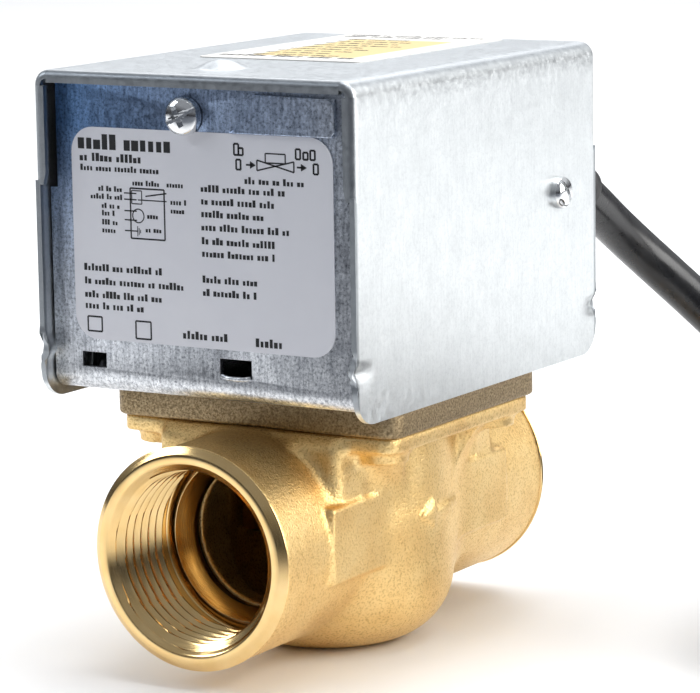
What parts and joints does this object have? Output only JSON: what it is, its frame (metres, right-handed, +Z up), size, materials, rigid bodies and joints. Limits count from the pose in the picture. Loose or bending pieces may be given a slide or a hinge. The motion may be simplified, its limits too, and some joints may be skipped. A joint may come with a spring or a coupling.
{
  "type": "motorised zone valve",
  "caption": "Straight two-port brass zone valve with a sheet-metal spring-return motor head, manual lever, end switch and black supply lead.",
  "frame": {"origin": "middle of the footprint of the valve and head, on the surface that the round chamber stands on", "axes": "+Z up, +Y along the pipe axis from the labelled end to the end where the lead and the manual lever come out, +X across the head"},
  "size_m": [0.1861, 0.1432, 0.1091],
  "materials": {
    "cast_brass": "shot-blasted hot-stamped brass with machined port rings",
    "cut_brass": "turned brass",
    "black_rubber": "matt nitrile rubber",
    "steel_bright": "bright zinc-plated steel",
    "zinc_sheet": "hot-dip zinc-coated sheet with fine spangle",
    "cover_sheet": "bright zinc-plated sheet",
    "label_front": "silver-grey printed film",
    "label_top": "white printed film with an amber field",
    "gearbox_metal": "die-cast housing",
    "switch_body": "moulded phenolic",
    "plunger_plastic": "natural acetal",
    "nylon_black": "black nylon",
    "lead_sheath": "black PVC sheath",
    "wire_cores": "coloured PVC core insulation, copper ends",
    "tie_nylon": "natural nylon"
  },
  "bodies": {
    "valve": {"valve_body": "cast_brass", "seat_ring": "cut_brass", "bonnet_plate": "cast_brass", "bonnet_seal": "black_rubber", "bonnet_screws": "steel_bright", "stem_seals": "black_rubber", "chassis": "zinc_sheet", "head_screws": "steel_bright", "earth_screw": "cut_brass", "cover": "cover_sheet", "front_screw": "steel_bright", "side_screws": "steel_bright", "front_label": "label_front", "top_label": "label_top", "return_spring": "steel_bright", "motor_posts": "steel_bright", "motor_plate": "zinc_sheet", "gearbox": "gearbox_metal", "motor_can": "zinc_sheet", "motor_screws": "steel_bright", "switch_bracket": "zinc_sheet", "end_switch": "switch_body", "switch_tabs": "cut_brass", "cable_gland": "nylon_black", "strain_relief": "nylon_black", "inner_leads": "wire_cores", "supply_lead": "lead_sheath", "lead_coil": "lead_sheath", "coil_tie": "tie_nylon", "wire_tails": "wire_cores"},
    "swing_group": {"stem": "steel_bright", "paddle_arm": "cut_brass", "ball_plug": "black_rubber", "gear_sector": "zinc_sheet", "stem_clip": "steel_bright"},
    "pinion": {"motor_pinion": "cut_brass"},
    "lever": {"manual_lever": "steel_bright"},
    "plunger": {"switch_plunger": "plunger_plastic"}
  },
  "joints": [
    {"name": "stem_swing", "type": "hinge", "parent": "valve", "child": "swing_group", "pos_m": [-0.0146, 0, 0.0635], "axis": [0, 0, -1], "range_deg": [0, 52], "stiffness_Nm_per_rad": 0.05, "springref_deg": -20.05, "deforming": ["return_spring"]},
    {"name": "pinion_spin", "type": "hinge", "parent": "valve", "child": "pinion", "pos_m": [0.0154, 0, 0.064], "axis": [0, 0, -1], "range_deg": [-210, 0]},
    {"name": "lever_slide", "type": "slide", "parent": "valve", "child": "lever", "axis": [1, 0, 0], "range_m": [0, 0.0211]},
    {"name": "plunger_slide", "type": "slide", "parent": "valve", "child": "plunger", "axis": [0, -1, 0], "range_m": [0, 0.00121]}
  ],
  "couplings": [
    {"joint": "pinion_spin", "follows": "stem_swing", "ratio": -4},
    {"joint": "lever_slide", "follows": "stem_swing", "m_per_rad": 0.023183},
    {"joint": "plunger_slide", "follows": "stem_swing", "m_per_rad": 0.0013222}
  ]
}
